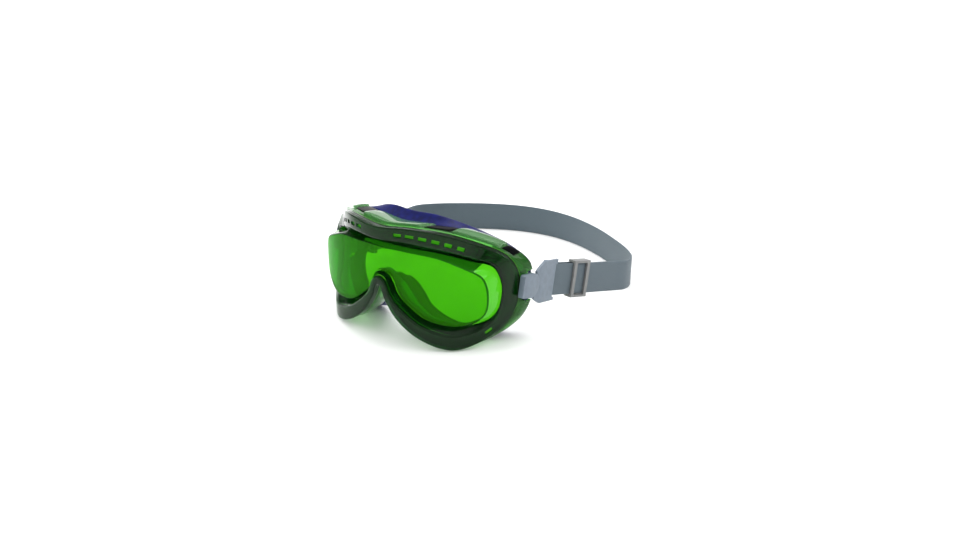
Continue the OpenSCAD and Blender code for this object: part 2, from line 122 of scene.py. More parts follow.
def blend_4(a, b, c, d, u):
    """Smooth curve through four control points."""
    return 0.5 * (2 * b + (c - a) * u + (2 * a - 5 * b + 4 * c - d) * u * u
                  + (3 * b - a - 3 * c + d) * u ** 3)


def on(outline, t):
    """Point at station t of a half outline, reflected past both ends."""
    end = len(outline) - 1
    i = min(int(t), end - 1)

    def control(k):
        if k < 0:
            return mirrored(vec(*outline[-k]))
        if k > end:
            return mirrored(vec(*outline[2 * end - k]))
        return vec(*outline[k])
    return blend_4(control(i - 1), control(i), control(i + 1), control(i + 2), t - i)


def bow(r, front, x):
    return r - front - math.sqrt(r * r - x * x)


def lens_at(t):
    x, z = on(LENS, t)
    return vec(x, bow(LENS_R, LENS_FRONT, x), z)


def seat_at(t):
    return on(SEAT, t)


def crest_at(t):
    return on(CREST, t)


def rim_at(t):
    return on(RIM, t)


def inward(t):
    """Unit vector in the X-Z plane from the rim in towards the opening."""
    v = crest_at(t) - rim_at(t)
    v[1] = 0
    return v / np.linalg.norm(v)


BACK = vec(0, 1, 0)


def part_at(t):
    """Outer edge where the front frame meets the housing."""
    c, d = rim_at(t), on(HOUSING, t)
    return c + PART_SHARE * (d - c) - 0.3 * inward(t)


def housing_at(t, s):
    """Housing's outer surface at share s from its front edge to its rear edge."""
    a, b = part_at(t) + FRAME_GAP * BACK, on(HOUSING, t)
    return a + s * (b - a) - 4 * s * (1 - s) * inward(t)


def place(p):
    """Drawing millimetres to metres in the shared frame, with nothing below the ground."""
    return (p[0] * MM, (p[1] - ORIGIN_Y) * MM, max(p[2], 0) * MM)


# ---- Meshes -----------------------------------------------------------------------

def rounded(points, reach, cuts=4, closed=True):
    """The points with each corner i turned into a curve that starts reach[i] before it."""
    out, n = [], len(points)
    for i, p in enumerate(points):
        r = reach[i] if isinstance(reach, (list, tuple)) else reach
        if r == 0 or (not closed and i in (0, n - 1)):
            out.append(p)
            continue
        a, b = points[i - 1] - p, points[(i + 1) % n] - p
        la, lb = np.linalg.norm(a), np.linalg.norm(b)
        if min(la, lb) < 1e-6:
            out += [p] * (cuts + 1)
            continue
        a, b = p + a * min(r, 0.48 * la) / la, p + b * min(r, 0.48 * lb) / lb
        for k in range(cuts + 1):
            u = k / cuts
            out.append((1 - u) ** 2 * a + 2 * u * (1 - u) * p + u * u * b)
    return out


def make(name, points, faces, material, body, nodes=(), slot=None, sharp=None, shift=True):
    """A piece from points and faces, riding on its body in place of its CAD nodes."""
    mesh = bpy.data.meshes.new(name)
    mesh.from_pydata([place(p) for p in points] if shift else points, [], faces)
    mesh.polygons.foreach_set("use_smooth", [True] * len(mesh.polygons))
    if sharp:
        mesh.set_sharp_from_angle(angle=math.radians(sharp))
    obj = bpy.data.objects.new(name, mesh)
    bpy.context.collection.objects.link(obj)
    return dress(obj, material, body, nodes)


def dress(obj, material, body, nodes=()):
    obj.data.materials.clear()
    obj.data.materials.append(material)
    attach(obj, body)
    if nodes:
        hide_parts(*nodes)
    return obj


def full_ring(half):
    """All sections of a ring from those of its half: the rest is the same, reflected."""
    return [half[j] if j <= HALF_N else [mirrored(p) for p in half[RING_N - j]]
            for j in range(RING_N)]


def half_ring(section):
    return [section(j / STEPS) for j in range(HALF_N + 1)]


def ring_faces(n, m, closed_section=True, closed_run=True, flip=False):
    faces = []
    for j in range(n if closed_run else n - 1):
        for k in range(m if closed_section else m - 1):
            a, b = j * m + k, j * m + (k + 1) % m
            c, d = ((j + 1) % n) * m + (k + 1) % m, ((j + 1) % n) * m + k
            faces.append((a, b, c, d) if flip else (a, d, c, b))
    return faces


def outward(obj):
    """Turns the faces of a closed shell outwards."""
    b = bmesh.new()
    b.from_mesh(obj.data)
    bmesh.ops.remove_doubles(b, verts=b.verts, dist=1e-7)
    bmesh.ops.recalc_face_normals(b, faces=b.faces)
    b.to_mesh(obj.data)
    b.free()
    return obj


def ring_piece(name, section, *rest, **more):
    rings = full_ring(half_ring(section))
    m = len(rings[0])
    return outward(make(name, [p for s in rings for p in s], ring_faces(RING_N, m),
                        *rest, **more))


def run_mesh(sections):
    """Points and faces of an open run of closed sections, with an end face each side."""
    n, m = len(sections), len(sections[0])
    faces = ring_faces(n, m, closed_run=False)
    faces += [tuple(range(m)), tuple((n - 1) * m + k for k in reversed(range(m)))]
    return [p for s in sections for p in s], faces


# ---- Materials --------------------------------------------------------------------

def srgb(text, alpha=1.0):
    """A hex colour as linear numbers."""
    parts = [int(text[i:i + 2], 16) / 255 for i in (0, 2, 4)]
    return [c / 12.92 if c <= 0.04045 else ((c + 0.055) / 1.055) ** 2.4
            for c in parts] + [alpha]


def add(tree, kind, links=None, **settings):
    """A node with its settings: node properties by name, socket values by number or name."""
    whole_name = kind.startswith(("Geometry", "Function", "NodeGroup"))
    node = tree.nodes.new(kind if whole_name else "ShaderNode" + kind)
    for key, value in settings.items():
        if hasattr(node, key):
            setattr(node, key, value)
        else:
            node.inputs[key.replace("_", " ")].default_value = value
    for key, source in (links or {}).items():
        tree.links.new(source, node.inputs[key])
    return node


def new_material(name):
    material = bpy.data.materials.new(name)
    material.use_nodes = True
    tree = material.node_tree
    tree.nodes.clear()
    return material, tree, add(tree, "OutputMaterial")


def object_point(tree, size_mm):
    """Object coordinates scaled so that one unit is size_mm."""
    at = add(tree, "TexCoord").outputs["Object"]
    return add(tree, "VectorMath", {0: at}, operation="SCALE", Scale=1 / (size_mm * MM)).outputs[0]


def ramp(tree, source, *stops):
    """Colour ramp through (position, hex) stops."""
    node = add(tree, "ValToRGB", {"Fac": source})
    elements = node.color_ramp.elements
    while len(elements) < len(stops):
        elements.new(0.5)
    for element, (position, text) in zip(elements, stops):
        element.position = position
        element.color = srgb(text)
    return node.outputs["Color"]


def spread(tree, source, low, high):
    """Noise from 0 to 1 turned into a range of values."""
    return add(tree, "MapRange", {"Value": source}, To_Min=low, To_Max=high).outputs[0]


def clear_plastic(name, tint, ior, rough, grain_mm, bump, see=1.0, coat=0.0, body_tint=None):
    """Tinted see-through plastic. Light from lamps passes as through a filter."""
    material, tree, output = new_material(name)
    noise = add(tree, "TexNoise", {"Vector": object_point(tree, grain_mm)}, Detail=2.0)
    shape = add(tree, "Bump", {"Height": noise.outputs[0]}, Strength=bump, Distance=0.00005)
    shell = add(tree, "BsdfPrincipled",
                {"Normal": shape.outputs[0],
                 "Roughness": spread(tree, noise.outputs[0], rough * 0.7, rough * 1.3)},
                IOR=ior)
    shell.inputs["Base Color"].default_value = srgb(body_tint or tint)
    shell.inputs["Transmission Weight"].default_value = see
    shell.inputs["Coat Weight"].default_value = coat
    shell.inputs["Coat Roughness"].default_value = 0.03
    passing = add(tree, "BsdfTransparent")
    passing.inputs["Color"].default_value = [0.82 + 0.18 * c for c in srgb(tint)]
    path = add(tree, "LightPath")
    mix = add(tree, "MixShader", {0: path.outputs["Is Shadow Ray"], 1: shell.outputs[0],
                                  2: passing.outputs[0]})
    tree.links.new(mix.outputs[0], output.inputs["Surface"])
    return material


def solid_plastic(name, light, dark, rough, grain_mm, bump, ior=1.49):
    """Moulded part with a fine spark-eroded grain and a slight change of tone."""
    material, tree, output = new_material(name)
    fine = add(tree, "TexNoise", {"Vector": object_point(tree, grain_mm)}, Detail=3.0)
    broad = add(tree, "TexNoise", {"Vector": object_point(tree, 18)}, Detail=1.0)
    shape = add(tree, "Bump", {"Height": fine.outputs[0]}, Strength=bump, Distance=0.0001)
    shell = add(tree, "BsdfPrincipled",
                {"Base Color": ramp(tree, broad.outputs[0], (0.3, dark), (0.7, light)),
                 "Roughness": spread(tree, fine.outputs[0], rough * 0.85, rough * 1.15),
                 "Normal": shape.outputs[0]}, IOR=ior)
    tree.links.new(shell.outputs[0], output.inputs["Surface"])
    return material


def woven_elastic(name, light, dark, rib_mm, pick_mm):
    """Knitted elastic webbing: lengthwise ribs crossed by rubber threads, matt and fuzzy."""
    material, tree, output = new_material(name)
    uv = add(tree, "SeparateXYZ", {0: add(tree, "UVMap", uv_map="strap").outputs[0]})

    def wave(source, pitch_mm, offset=None):
        turned = add(tree, "Math", {0: source}, operation="MULTIPLY")
        turned.inputs[1].default_value = math.pi / (pitch_mm * MM)
        if offset is not None:
            turned = add(tree, "Math", {0: turned.outputs[0], 1: offset}, operation="ADD")
        sine = add(tree, "Math", {0: turned.outputs[0]}, operation="SINE")
        return add(tree, "Math", {0: sine.outputs[0]}, operation="ABSOLUTE").outputs[0]

    column = add(tree, "Math", {0: uv.outputs[1]}, operation="MULTIPLY")
    column.inputs[1].default_value = 1 / (rib_mm * MM)
    whole = add(tree, "Math", {0: column.outputs[0]}, operation="FLOOR")
    half_step = add(tree, "Math", {0: whole.outputs[0]}, operation="MULTIPLY")
    half_step.inputs[1].default_value = math.pi / 2
    rib = wave(uv.outputs[1], rib_mm)
    stitch = wave(uv.outputs[0], pick_mm, half_step.outputs[0])
    height = add(tree, "Math", {0: rib, 1: stitch}, operation="MULTIPLY").outputs[0]
    fuzz = add(tree, "TexNoise", {"Vector": object_point(tree, 0.5)}, Detail=4.0)
    broad = add(tree, "TexNoise", {"Vector": object_point(tree, 9)}, Detail=2.0)
    # The weave's raised crests are painted lighter and its hollows darker, a painted shade that
    # follows the bump's height; fuzz and a broad change of tone are added
    tone = add(tree, "Math", {0: height, 1: fuzz.outputs[0]}, operation="ADD").outputs[0]
    tone = add(tree, "Math", {0: tone, 1: broad.outputs[0]}, operation="ADD").outputs[0]
    shape = add(tree, "Bump", {"Height": height}, Strength=0.6, Distance=0.0002)
    cloth = add(tree, "BsdfPrincipled",
                {"Base Color": ramp(tree, spread(tree, tone, -0.25, 0.65), (0.1, dark),
                                    (0.9, light)),
                 "Normal": shape.outputs[0]}, Roughness=0.85)
    cloth.inputs["Sheen Weight"].default_value = 0.25
    cloth.inputs["Sheen Roughness"].default_value = 0.5
    tree.links.new(cloth.outputs[0], output.inputs["Surface"])
    return material


# Polished polycarbonate filter: saturated green, and twice as deep through two layers
FILTER = clear_plastic("polycarbonate_filter_polished", "3fa60a", 1.06, 0.02, 6, 0.02,
                      see=0.8, coat=0.05)
# Its rounded corner in a near-black green: painted shade for the dark line where the view bends
# away into the depth of the plastic
FILTER_PAINTED_SHADE = clear_plastic("polycarbonate_filter_painted_shade", "052c06", 1.12, 0.03, 6, 0.02)
# Its side wall in a paler green: painted light for the wall lit through from behind
FILTER_PAINTED_LIGHT = clear_plastic("polycarbonate_filter_painted_light", "5cc62c", 1.1, 0.05, 6, 0.02, coat=0.3)
# Its side returns behind the frame, a second layer in a deeper green: painted shade that darkens
# the far interior seen through the lens
FILTER_SHADE_LAYER = clear_plastic("polycarbonate_filter_painted_shade_layer", "0f6a08", 1.05, 0.05, 6, 0.02,
                              see=0.95)
# The same plastic's flange, seen edge on, and its skirt, in a paler green: a painted glow standing
# in for light gathering in it
FILTER_PAINTED_GLOW = clear_plastic("polycarbonate_filter_painted_glow", "7ae23a", 1.2, 0.15, 2, 0.05, see=0.6)
# Translucent moulded nylon: dark where its walls overlap, pale where one stands alone
FRAME_SHELL = clear_plastic("translucent_nylon_glossy", "5c8a5e", 1.1, 0.06, 3, 0.05,
                            see=0.9, coat=0.3, body_tint="1c4a22")
HOUSING_SHELL = clear_plastic("translucent_nylon_satin", "6fa262", 1.12, 0.13, 3, 0.07,
                              see=0.88, coat=0.3, body_tint="58a84c")
COVER_SHELL = clear_plastic("translucent_nylon_thin", "a9c9a6", 1.15, 0.12, 3, 0.06,
                            see=0.7, coat=0.4, body_tint="7ba67a")
# Louvre inserts: carbon-filled nylon
LOUVRE = solid_plastic("carbon_filled_nylon_matt", "08090c", "040507", 0.3, 0.4, 0.12, ior=1.08)
# Thermoplastic elastomer, satin with a soft bloom on its turned edges
ELASTOMER = solid_plastic("elastomer_moulded_satin", "0f165c", "0a0f44", 0.38, 0.35, 0.1,
                          ior=1.24)
GASKET = solid_plastic("elastomer_cord_matt", "10160f", "0a0e0a", 0.6, 0.4, 0.1, ior=1.2)
# Acetal clips: cool grey with a fine spark-eroded grain
ACETAL = solid_plastic("acetal_moulded_grey", "66737f", "5e6a76", 0.4, 0.3, 0.12)
ACETAL_WARM = solid_plastic("acetal_moulded_warm_grey", "777877", "6d6e6e", 0.38, 0.3, 0.12)
PIN_STEEL, _tree, _out = new_material("stainless_steel_drawn")
_grain = add(_tree, "TexNoise", {"Vector": object_point(_tree, 0.3)}, Detail=2.0)
_steel = add(_tree, "BsdfPrincipled",
             {"Roughness": spread(_tree, _grain.outputs[0], 0.25, 0.4)}, Metallic=1.0)
_steel.inputs["Base Color"].default_value = srgb("c9cbcd")
_tree.links.new(_steel.outputs[0], _out.inputs["Surface"])
STRAP = woven_elastic("elastic_webbing_knitted", "58666e", "38444c", 0.9, 0.8)
THREAD = solid_plastic("polyester_thread", "5f6d76", "4d5961", 0.7, 0.2, 0.2)


# ---- Camera, floor and light ------------------------------------------------------

def aim(obj, target):
    obj.rotation_mode = "QUATERNION"
    obj.rotation_quaternion = (Vector(target) - obj.location).to_track_quat("-Z", "Y")


def make_camera():
    side, lift, distance = math.radians(33), math.radians(24), 0.850
    target = Vector(place((44.13, 28.66, 35.74)))
    back = Vector((math.sin(side) * math.cos(lift), -math.cos(side) * math.cos(lift),
                   math.sin(lift)))
    camera = bpy.data.objects.new("camera", bpy.data.cameras.new("camera"))
    bpy.context.collection.objects.link(camera)
    camera.data.sensor_width = 36
    camera.data.lens = 36 * 1258 / 978
    camera.location = target + back * distance
    aim(camera, target)
    bpy.context.scene.camera = camera


def make_lamp(name, place_at, size, power, mirrored_in_gloss=True):
    lamp = bpy.data.lights.new(name, "AREA")
    lamp.shape, lamp.size, lamp.size_y, lamp.energy = "RECTANGLE", size[0], size[1], power
    obj = bpy.data.objects.new(name, lamp)
    bpy.context.collection.objects.link(obj)
    obj.location = place_at
    obj.visible_glossy = mirrored_in_gloss
    aim(obj, (0, -0.03, 0.04))


def make_studio():
    half = 60.0
    mesh = bpy.data.meshes.new("floor")
    mesh.from_pydata([(-half, -half, 0), (half, -half, 0), (half, half, 0), (-half, half, 0)],
                     [], [(0, 1, 2, 3)])
    floor = bpy.data.objects.new("floor", mesh)
    bpy.context.collection.objects.link(floor)
    floor.location.z = -0.0002
    paper, tree, output = new_material("seamless_paper_white")
    card = add(tree, "BsdfPrincipled", Roughness=0.9)
    card.inputs["Base Color"].default_value = srgb("f6f6f6")
    card.inputs["Specular IOR Level"].default_value = 0.1
    tree.links.new(card.outputs[0], output.inputs["Surface"])
    mesh.materials.append(paper)
    world = bpy.data.worlds.new("studio")
    world.use_nodes = True
    # A bright ceiling and horizon with dark walls between them, which glossy surfaces
    # mirror as deep tones beside highlights
    sky, shade = world.node_tree, world.node_tree.nodes["Background"]
    height = add(sky, "SeparateXYZ", {0: add(sky, "TexCoord").outputs["Generated"]})
    tone = ramp(sky, height.outputs[2], (0.14, "ffffff"), (0.2, "3a3a3a"), (0.55, "ffffff"))
    sky.links.new(tone, shade.inputs["Color"])
    shade.inputs["Strength"].default_value = 1.15
    scene = bpy.context.scene
    scene.world = world
    scene.view_settings.view_transform = "Standard"
    make_lamp("overhead", (-0.15, 0.25, 0.95), (1.1, 0.8), 8)
    make_lamp("window_left", (-0.9, -0.5, 0.55), (0.7, 0.6), 7,
              mirrored_in_gloss=False)
    make_lamp("rim_right", (0.8, 0.35, 0.5), (0.5, 0.4), 2)


make_camera()
make_studio()


# ---- Lens -------------------------------------------------------------------------

CAP_ROWS = 20


def lens_section(t):
    """From the front face over the rounded edge, down the side wall and back up inside."""
    n = inward(t)
    outer, seat = lens_at(t), seat_at(t)
    face = outer + 1.3 * n
    face = vec(face[0], bow(LENS_R, LENS_FRONT, face[0]), face[2])
    inner = outer + 1.6 * n
    inner = vec(inner[0], bow(LENS_R, LENS_FRONT, inner[0]) + LENS_T, inner[2])
    under = inner + 1.0 * n
    under = vec(under[0], bow(LENS_R, LENS_FRONT, under[0]) + LENS_T, under[2])
    foot, foot_in = seat + 1.5 * BACK, seat + 1.5 * BACK + 1.6 * n
    return rounded([face, outer, foot, foot_in, inner, under], [0, 0.9, 0.4, 0.4, 0.7, 0],
                   cuts=4, closed=False)


def make_lens():
    rings = full_ring(half_ring(lens_section))
    m = len(rings[0])
    points = [p for s in rings for p in s]
    faces = ring_faces(RING_N, m, closed_section=False)
    for k, lift in ((0, 0), (m - 1, LENS_T)):
        grid = {}
        for j in range(-HALF_N // 2, HALF_N // 2 + 1):
            i = abs(j)
            top = i if j >= 0 else (RING_N - i) % RING_N
            low = HALF_N - i if j >= 0 else HALF_N + i
            grid[j, 0], grid[j, CAP_ROWS] = top * m + k, low * m + k
            for r in range(1, CAP_ROWS):
                if i == HALF_N // 2:
                    grid[j, r] = top * m + k
                    continue
                a, b = points[top * m + k], points[low * m + k]
                p = a + (b - a) * r / CAP_ROWS
                grid[j, r] = len(points)
                points.append(vec(p[0], bow(LENS_R, LENS_FRONT, p[0]) + lift, p[2]))
        for j in range(-HALF_N // 2, HALF_N // 2):
            for r in range(CAP_ROWS):
                corners = [grid[j, r], grid[j + 1, r], grid[j + 1, r + 1], grid[j, r + 1]]
                corners = tuple(dict.fromkeys(corners))
                if len(corners) > 2:
                    faces.append(corners)
    obj = make("lens", points, faces, FILTER, "goggles", ["lens"], "lens")
    for other in (FILTER_PAINTED_SHADE, FILTER_PAINTED_LIGHT):
        obj.data.materials.append(other)
    # Of the strips round the edge, 1 to 4 form the front corner, in painted shade, and 5 is the
    # side wall, with painted shade under the brow and painted light at the side
    zones = []
    for f in range(len(faces)):
        j, k = divmod(f, m - 1)
        t = min(j, RING_N - j) / STEPS
        wall = 2 if 3.4 < t < 10 else 1
        zones.append((wall if k == 5 else int(1 <= k <= 4)) if j < RING_N else 0)
    obj.data.polygons.foreach_set("material_index", zones)
    return outward(obj)


def flange_section(t):
    """Thin flange of the lens between the frame and the housing, out to the parting line."""
    n, p = inward(t), part_at(t)
    return [p + 0.1 * n + 0.02 * BACK, p + 0.1 * n + 0.28 * BACK,
            p + (WALL + 0.4) * n + 0.28 * BACK, p + (WALL + 0.4) * n + 0.02 * BACK]


def band_section(t):
    """The flange's turned-up skirt, close behind the frame's windowed band, in the paler green
    that paints a glow behind the windows.
    """
    n, k, c = inward(t), crest_at(t), rim_at(t)
    low, high = k + 0.2 * n + 2.9 * BACK, c + 2.4 * n + 2.4 * BACK
    return [low, high, high + 0.6 * BACK, low + 0.6 * BACK]


def make_shade_returns():
    """The filter's side returns: a second layer in a deeper green inside the housing at each
    temple, painted shade for the far interior seen through the lens.
    """
    sections = []
    for t in np.linspace(3.3, 8.6, 45):
        n = inward(t)
        front, back = [housing_at(t, s) + (WALL + 0.5) * n for s in (0.12, 0.62)]
        sections.append([front, back, back + 0.7 * n, front + 0.7 * n])
    points, faces = run_mesh(sections)
    for s, side in ((1, "left"), (-1, "right")):
        outward(make(f"lens_shade_layer_{side}", points if s > 0 else [mirrored(p) for p in points],
                     faces, FILTER_SHADE_LAYER, "goggles", slot="lens", sharp=30))


def gasket_section(t):
    n, b = inward(t), seat_at(t)
    return rounded([b + 1.4 * n + 1.7 * BACK, b - 0.6 * n + 1.7 * BACK,
                    b - 0.6 * n + 3.1 * BACK, b + 1.4 * n + 3.1 * BACK], 0.5, cuts=3)


# ---- Front frame ------------------------------------------------------------------

def frame_section(t):
    n, b, k, c, p = inward(t), seat_at(t), crest_at(t), rim_at(t), part_at(t)
    flank = p - c
    out = -n
    # Two shallow grooves run round the flank between the rim and the parting line
    grooves = [c + flank * s + out * lift for s, lift in
               ((0.30, 0.0), (0.36, -0.28), (0.42, 0.0), (0.66, 0.0), (0.72, -0.28),
                (0.78, 0.0))]
    outline = [b - 0.35 * n - BACK, k, c] + grooves + \
        [p, p + WALL * n, c + 1.6 * n + 1.4 * BACK, k - 0.5 * n + 2 * BACK,
         b - 0.35 * n + 0.8 * BACK]
    return rounded(outline, [0.3, 1.1, 1.6] + [0.12] * 6 + [0.25, 0.2, 1.0, 0.8, 0.3], cuts=4)


def window(t, side):
    """Box that cuts one vent window through the band at station t, square to its face."""
    c, r = crest_at(t), rim_at(t)
    u = unit(crest_at(t + 0.05) + rim_at(t + 0.05) - c - r)
    w = unit(r - c - u * float((r - c) @ u))
    v = np.cross(w, u)
    points = [0.58 * c + 0.42 * r + u * a * WINDOW_W / 2 + v * b * 5 + w * d * WINDOW_H / 2
              for a in (-1, 1) for b in (-1, 1) for d in (-1, 1)]
    faces = [(0, 1, 3, 2), (4, 6, 7, 5), (0, 4, 5, 1), (2, 3, 7, 6), (0, 2, 6, 4), (1, 5, 7, 3)]
    return [p if side > 0 else mirrored(p) for p in points], faces


def cut_away(obj, shapes):
    """Cuts the shapes, each a (points, faces) pair, out of obj."""
    for points, faces in shapes:
        mesh = bpy.data.meshes.new("cutter")
        mesh.from_pydata([place(p) for p in points], [], faces)
        tool = bpy.data.objects.new("cutter", mesh)
        bpy.context.collection.objects.link(tool)
        outward(tool)
        step = obj.modifiers.new("cut", "BOOLEAN")
        step.operation, step.solver, step.object = "DIFFERENCE", "EXACT", tool
        graph = bpy.context.evaluated_depsgraph_get()
        result = bpy.data.meshes.new_from_object(obj.evaluated_get(graph))
        obj.modifiers.clear()
        obj.data = result
        bpy.data.objects.remove(tool)
    obj.data.polygons.foreach_set("use_smooth", [True] * len(obj.data.polygons))
    obj.data.set_sharp_from_angle(angle=math.radians(40))
    return obj


def make_front_frame():
    obj = ring_piece("front_frame", frame_section, FRAME_SHELL, "goggles", ["front_frame"],
                     "frame")
    shapes = [window(t, side) for t in WINDOW_STATIONS for side in (1, -1)]
    return cut_away(obj, shapes)


# ---- Housing ----------------------------------------------------------------------

def housing_section(t):
    n, b, p, d = inward(t), seat_at(t), part_at(t), on(HOUSING, t)
    sweep = [housing_at(t, s) for s in (0.15, 0.3, 0.45, 0.6, 0.75, 0.9)]
    inner = [q + WALL * n for q in reversed(sweep[1:])]
    outline = [p + FRAME_GAP * BACK] + sweep + [d, d + WALL * n] + inner + \
        [p + WALL * n + 4.5 * BACK, b - 0.9 * n + 5 * BACK, b + 1.2 * n + 5 * BACK,
         b + 1.2 * n + 3.3 * BACK, b - 0.9 * n + 3.3 * BACK, p + WALL * n + FRAME_GAP * BACK]
    reach = [0.3] + [0] * 6 + [0.5, 0.5] + [0] * 5 + [1, 0.4, 0.5, 0.5, 0.4, 0.2]
    return rounded(outline, reach, cuts=3)


def disc(x0, x1, radius, count=64):
    """Cylinder about the pivot's axis, as points and faces."""
    turn = [2 * math.pi * i / count for i in range(count)]
    ring = [(PIVOT_Y + radius * math.cos(a), PIVOT_Z + radius * math.sin(a)) for a in turn]
    points = [vec(x, y, z) for x in (x0, x1) for y, z in ring]
    faces = [(i, (i + 1) % count, count + (i + 1) % count, count + i) for i in range(count)]
    return points, faces + [tuple(range(count)), tuple(range(count, 2 * count))]


def box(x0, x1, y0, y1, z0, z1):
    points = [vec(x, y, z) for x in (x0, x1) for y in (y0, y1) for z in (z0, z1)]
    return points, [(0, 1, 3, 2), (4, 6, 7, 5), (0, 4, 5, 1), (2, 3, 7, 6), (0, 2, 6, 4),
                    (1, 5, 7, 3)]


def make_housing():
    obj = ring_piece("rear_housing", housing_section, HOUSING_SHELL, "goggles",
                     ["rear_housing"], "housing")
    cut_away(obj, [disc(s * POCKET_X, s * (POCKET_X + 11), POCKET_R) for s in (1, -1)])
    for s, side in ((1, "left"), (-1, "right")):
        # Floor of the pocket that the clip's eye turns in
        points, faces = box(s * (POCKET_X - 2), s * POCKET_X, BLOCK_Y, BLOCK_Y + BLOCK_L,
                            PIVOT_Z - BLOCK_H / 2, PIVOT_Z + BLOCK_H / 2)
        outward(make(f"pivot_floor_{side}", points, faces, HOUSING_SHELL, "goggles",
                     slot="housing", sharp=30))


def pad(name, t0, t1, s0, s1, low, high, material, nodes, slot, sides=(1,)):
    """Pad on the housing's outer surface between stations t0 and t1, with soft edges."""
    count = max(8, math.ceil((t1 - t0) * STEPS * 2))
    sections = []
    for j in range(count + 1):
        t = t0 + (t1 - t0) * j / count
        # The last steps at both ends turn down, so that the pad's ends are rounded
        near = min(j, count - j) / 1.5
        crown = high if near >= 1 else low + (high - low) * math.sqrt(1 - (1 - near) ** 2)
        a = abs(t)
        shares = [(s0, low), (s0, crown)] + \
            [(s0 + (s1 - s0) * q, crown) for q in (0.25, 0.5, 0.75)] + [(s1, crown), (s1, low)]
        top = [housing_at(a, s) - lift * inward(a) for s, lift in shares]
        section = rounded(top, [0, 0.7, 0, 0, 0, 0.7, 0], cuts=3, closed=False)
        sections.append([mirrored(p) for p in section] if t < 0 else section)
    points, faces = run_mesh(sections)
    for s in sides:
        side_points = points if s > 0 else [mirrored(p) for p in points]
        outward(make(name[s], side_points, faces, material, "goggles", [nodes[s]], slot,
                     sharp=50))


def make_vents():
    pad({1: "vent_cover_centre"}, -1.15, 1.15, 0.14, 0.9, 0.05, 1.6, COVER_SHELL,
        {1: "vent_cover_centre"}, "vent_cover")
    both = {1: "left", -1: "right"}

    def names(form):
        return {s: form % both[s] for s in both}
    pad(names("vent_cover_%s"), 2.05, 3.6, 0.14, 0.9, 0.05, 2, COVER_SHELL,
        names("vent_cover_%s"), "vent_cover", (1, -1))
    pad(names("vent_insert_%s_inner"), 1.2, 2, 0.2, 0.85, 0.05, 0.6, LOUVRE,
        names("vent_insert_%s_inner"), "vent_insert", (1, -1))
    pad(names("vent_insert_%s_outer"), 3.65, 4.25, 0.2, 0.85, 0.05, 0.6, LOUVRE,
        names("vent_insert_%s_outer"), "vent_insert", (1, -1))


# ---- Face seal --------------------------------------------------------------------

def seal_section(t):
    n, d, e = inward(t), on(HOUSING, t), on(SEAL, t)
    m, lip = (d + e) / 2, LIP_W - LIP_NARROW * min(1, max(0, (t - 8) / 2))
    outline = [d + (WALL + 1.4) * n - 3.6 * BACK, d + (WALL + 0.3) * n + 0.3 * BACK,
               d + 0.3 * BACK, m + 0.3 * n + 0.3 * BACK, e, e + lip * n + 1.5 * BACK,
               e + lip * n, e + 3 * n - 0.6 * BACK, d + 4.4 * n + 0.5 * BACK,
               d + 4.6 * n - 3.6 * BACK]
    return rounded(outline, [0.4, 0.2, 0.6, 3, 1.2, 0.6, 0.6, 2, 2, 0.6], cuts=4)


def make_seal():
    obj = ring_piece("face_seal", seal_section, ELASTOMER, "goggles", ["face_seal"], "seal")
    shapes = []
    for s in (1, -1):
        shapes.append(box(s * (POCKET_X - 2.4), s * (POCKET_X + 17), BLOCK_Y,
                          BLOCK_Y + BLOCK_L + 0.4, PIVOT_Z - BLOCK_H / 2 - 0.4,
                          PIVOT_Z + BLOCK_H / 2 + 0.4))
        shapes.append(disc(s * (POCKET_X - 0.4), s * (POCKET_X + 11.6), POCKET_R + 3))
    return cut_away(obj, shapes)


# ---- Parts taken over from the design, with their edges broken --------------------

def broken_edges(name, node, material, body, width_mm, segments=3):
    """Copy of a CAD node, cleaned of loose triangles, with every hard edge rounded."""
    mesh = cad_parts[node].data.copy()
    mesh.name = name
    b = bmesh.new()
    b.from_mesh(mesh)
    bmesh.ops.remove_doubles(b, verts=b.verts, dist=2e-6)
    bmesh.ops.dissolve_limit(b, angle_limit=math.radians(1), verts=b.verts, edges=b.edges)
    bmesh.ops.recalc_face_normals(b, faces=b.faces)
    b.to_mesh(mesh)
    b.free()
    obj = bpy.data.objects.new(name, mesh)
    bpy.context.collection.objects.link(obj)
    bevel = obj.modifiers.new("edges", "BEVEL")
    bevel.width, bevel.segments = width_mm * MM, segments
    bevel.limit_method, bevel.angle_limit = "ANGLE", math.radians(35)
    bevel.harden_normals = False
    graph = bpy.context.evaluated_depsgraph_get()
    obj.data = bpy.data.meshes.new_from_object(obj.evaluated_get(graph))
    obj.modifiers.clear()
    obj.data.polygons.foreach_set("use_smooth", [True] * len(obj.data.polygons))
    obj.data.set_sharp_from_angle(angle=math.radians(38))
    return dress(obj, material, body, [node])


# ---- Headband ---------------------------------------------------------------------

def from_strap(p):
    """Point of the straight run's frame, which starts at the clip's bar."""
    x = p[0] * math.cos(SPLAY) + p[1] * math.sin(SPLAY)
    y = -p[0] * math.sin(SPLAY) + p[1] * math.cos(SPLAY) + BAR_Y
    return vec(BAR_X + x, PIVOT_Y + y * math.cos(DROOP) + p[2] * math.sin(DROOP),
               PIVOT_Z - y * math.sin(DROOP) + p[2] * math.cos(DROOP))


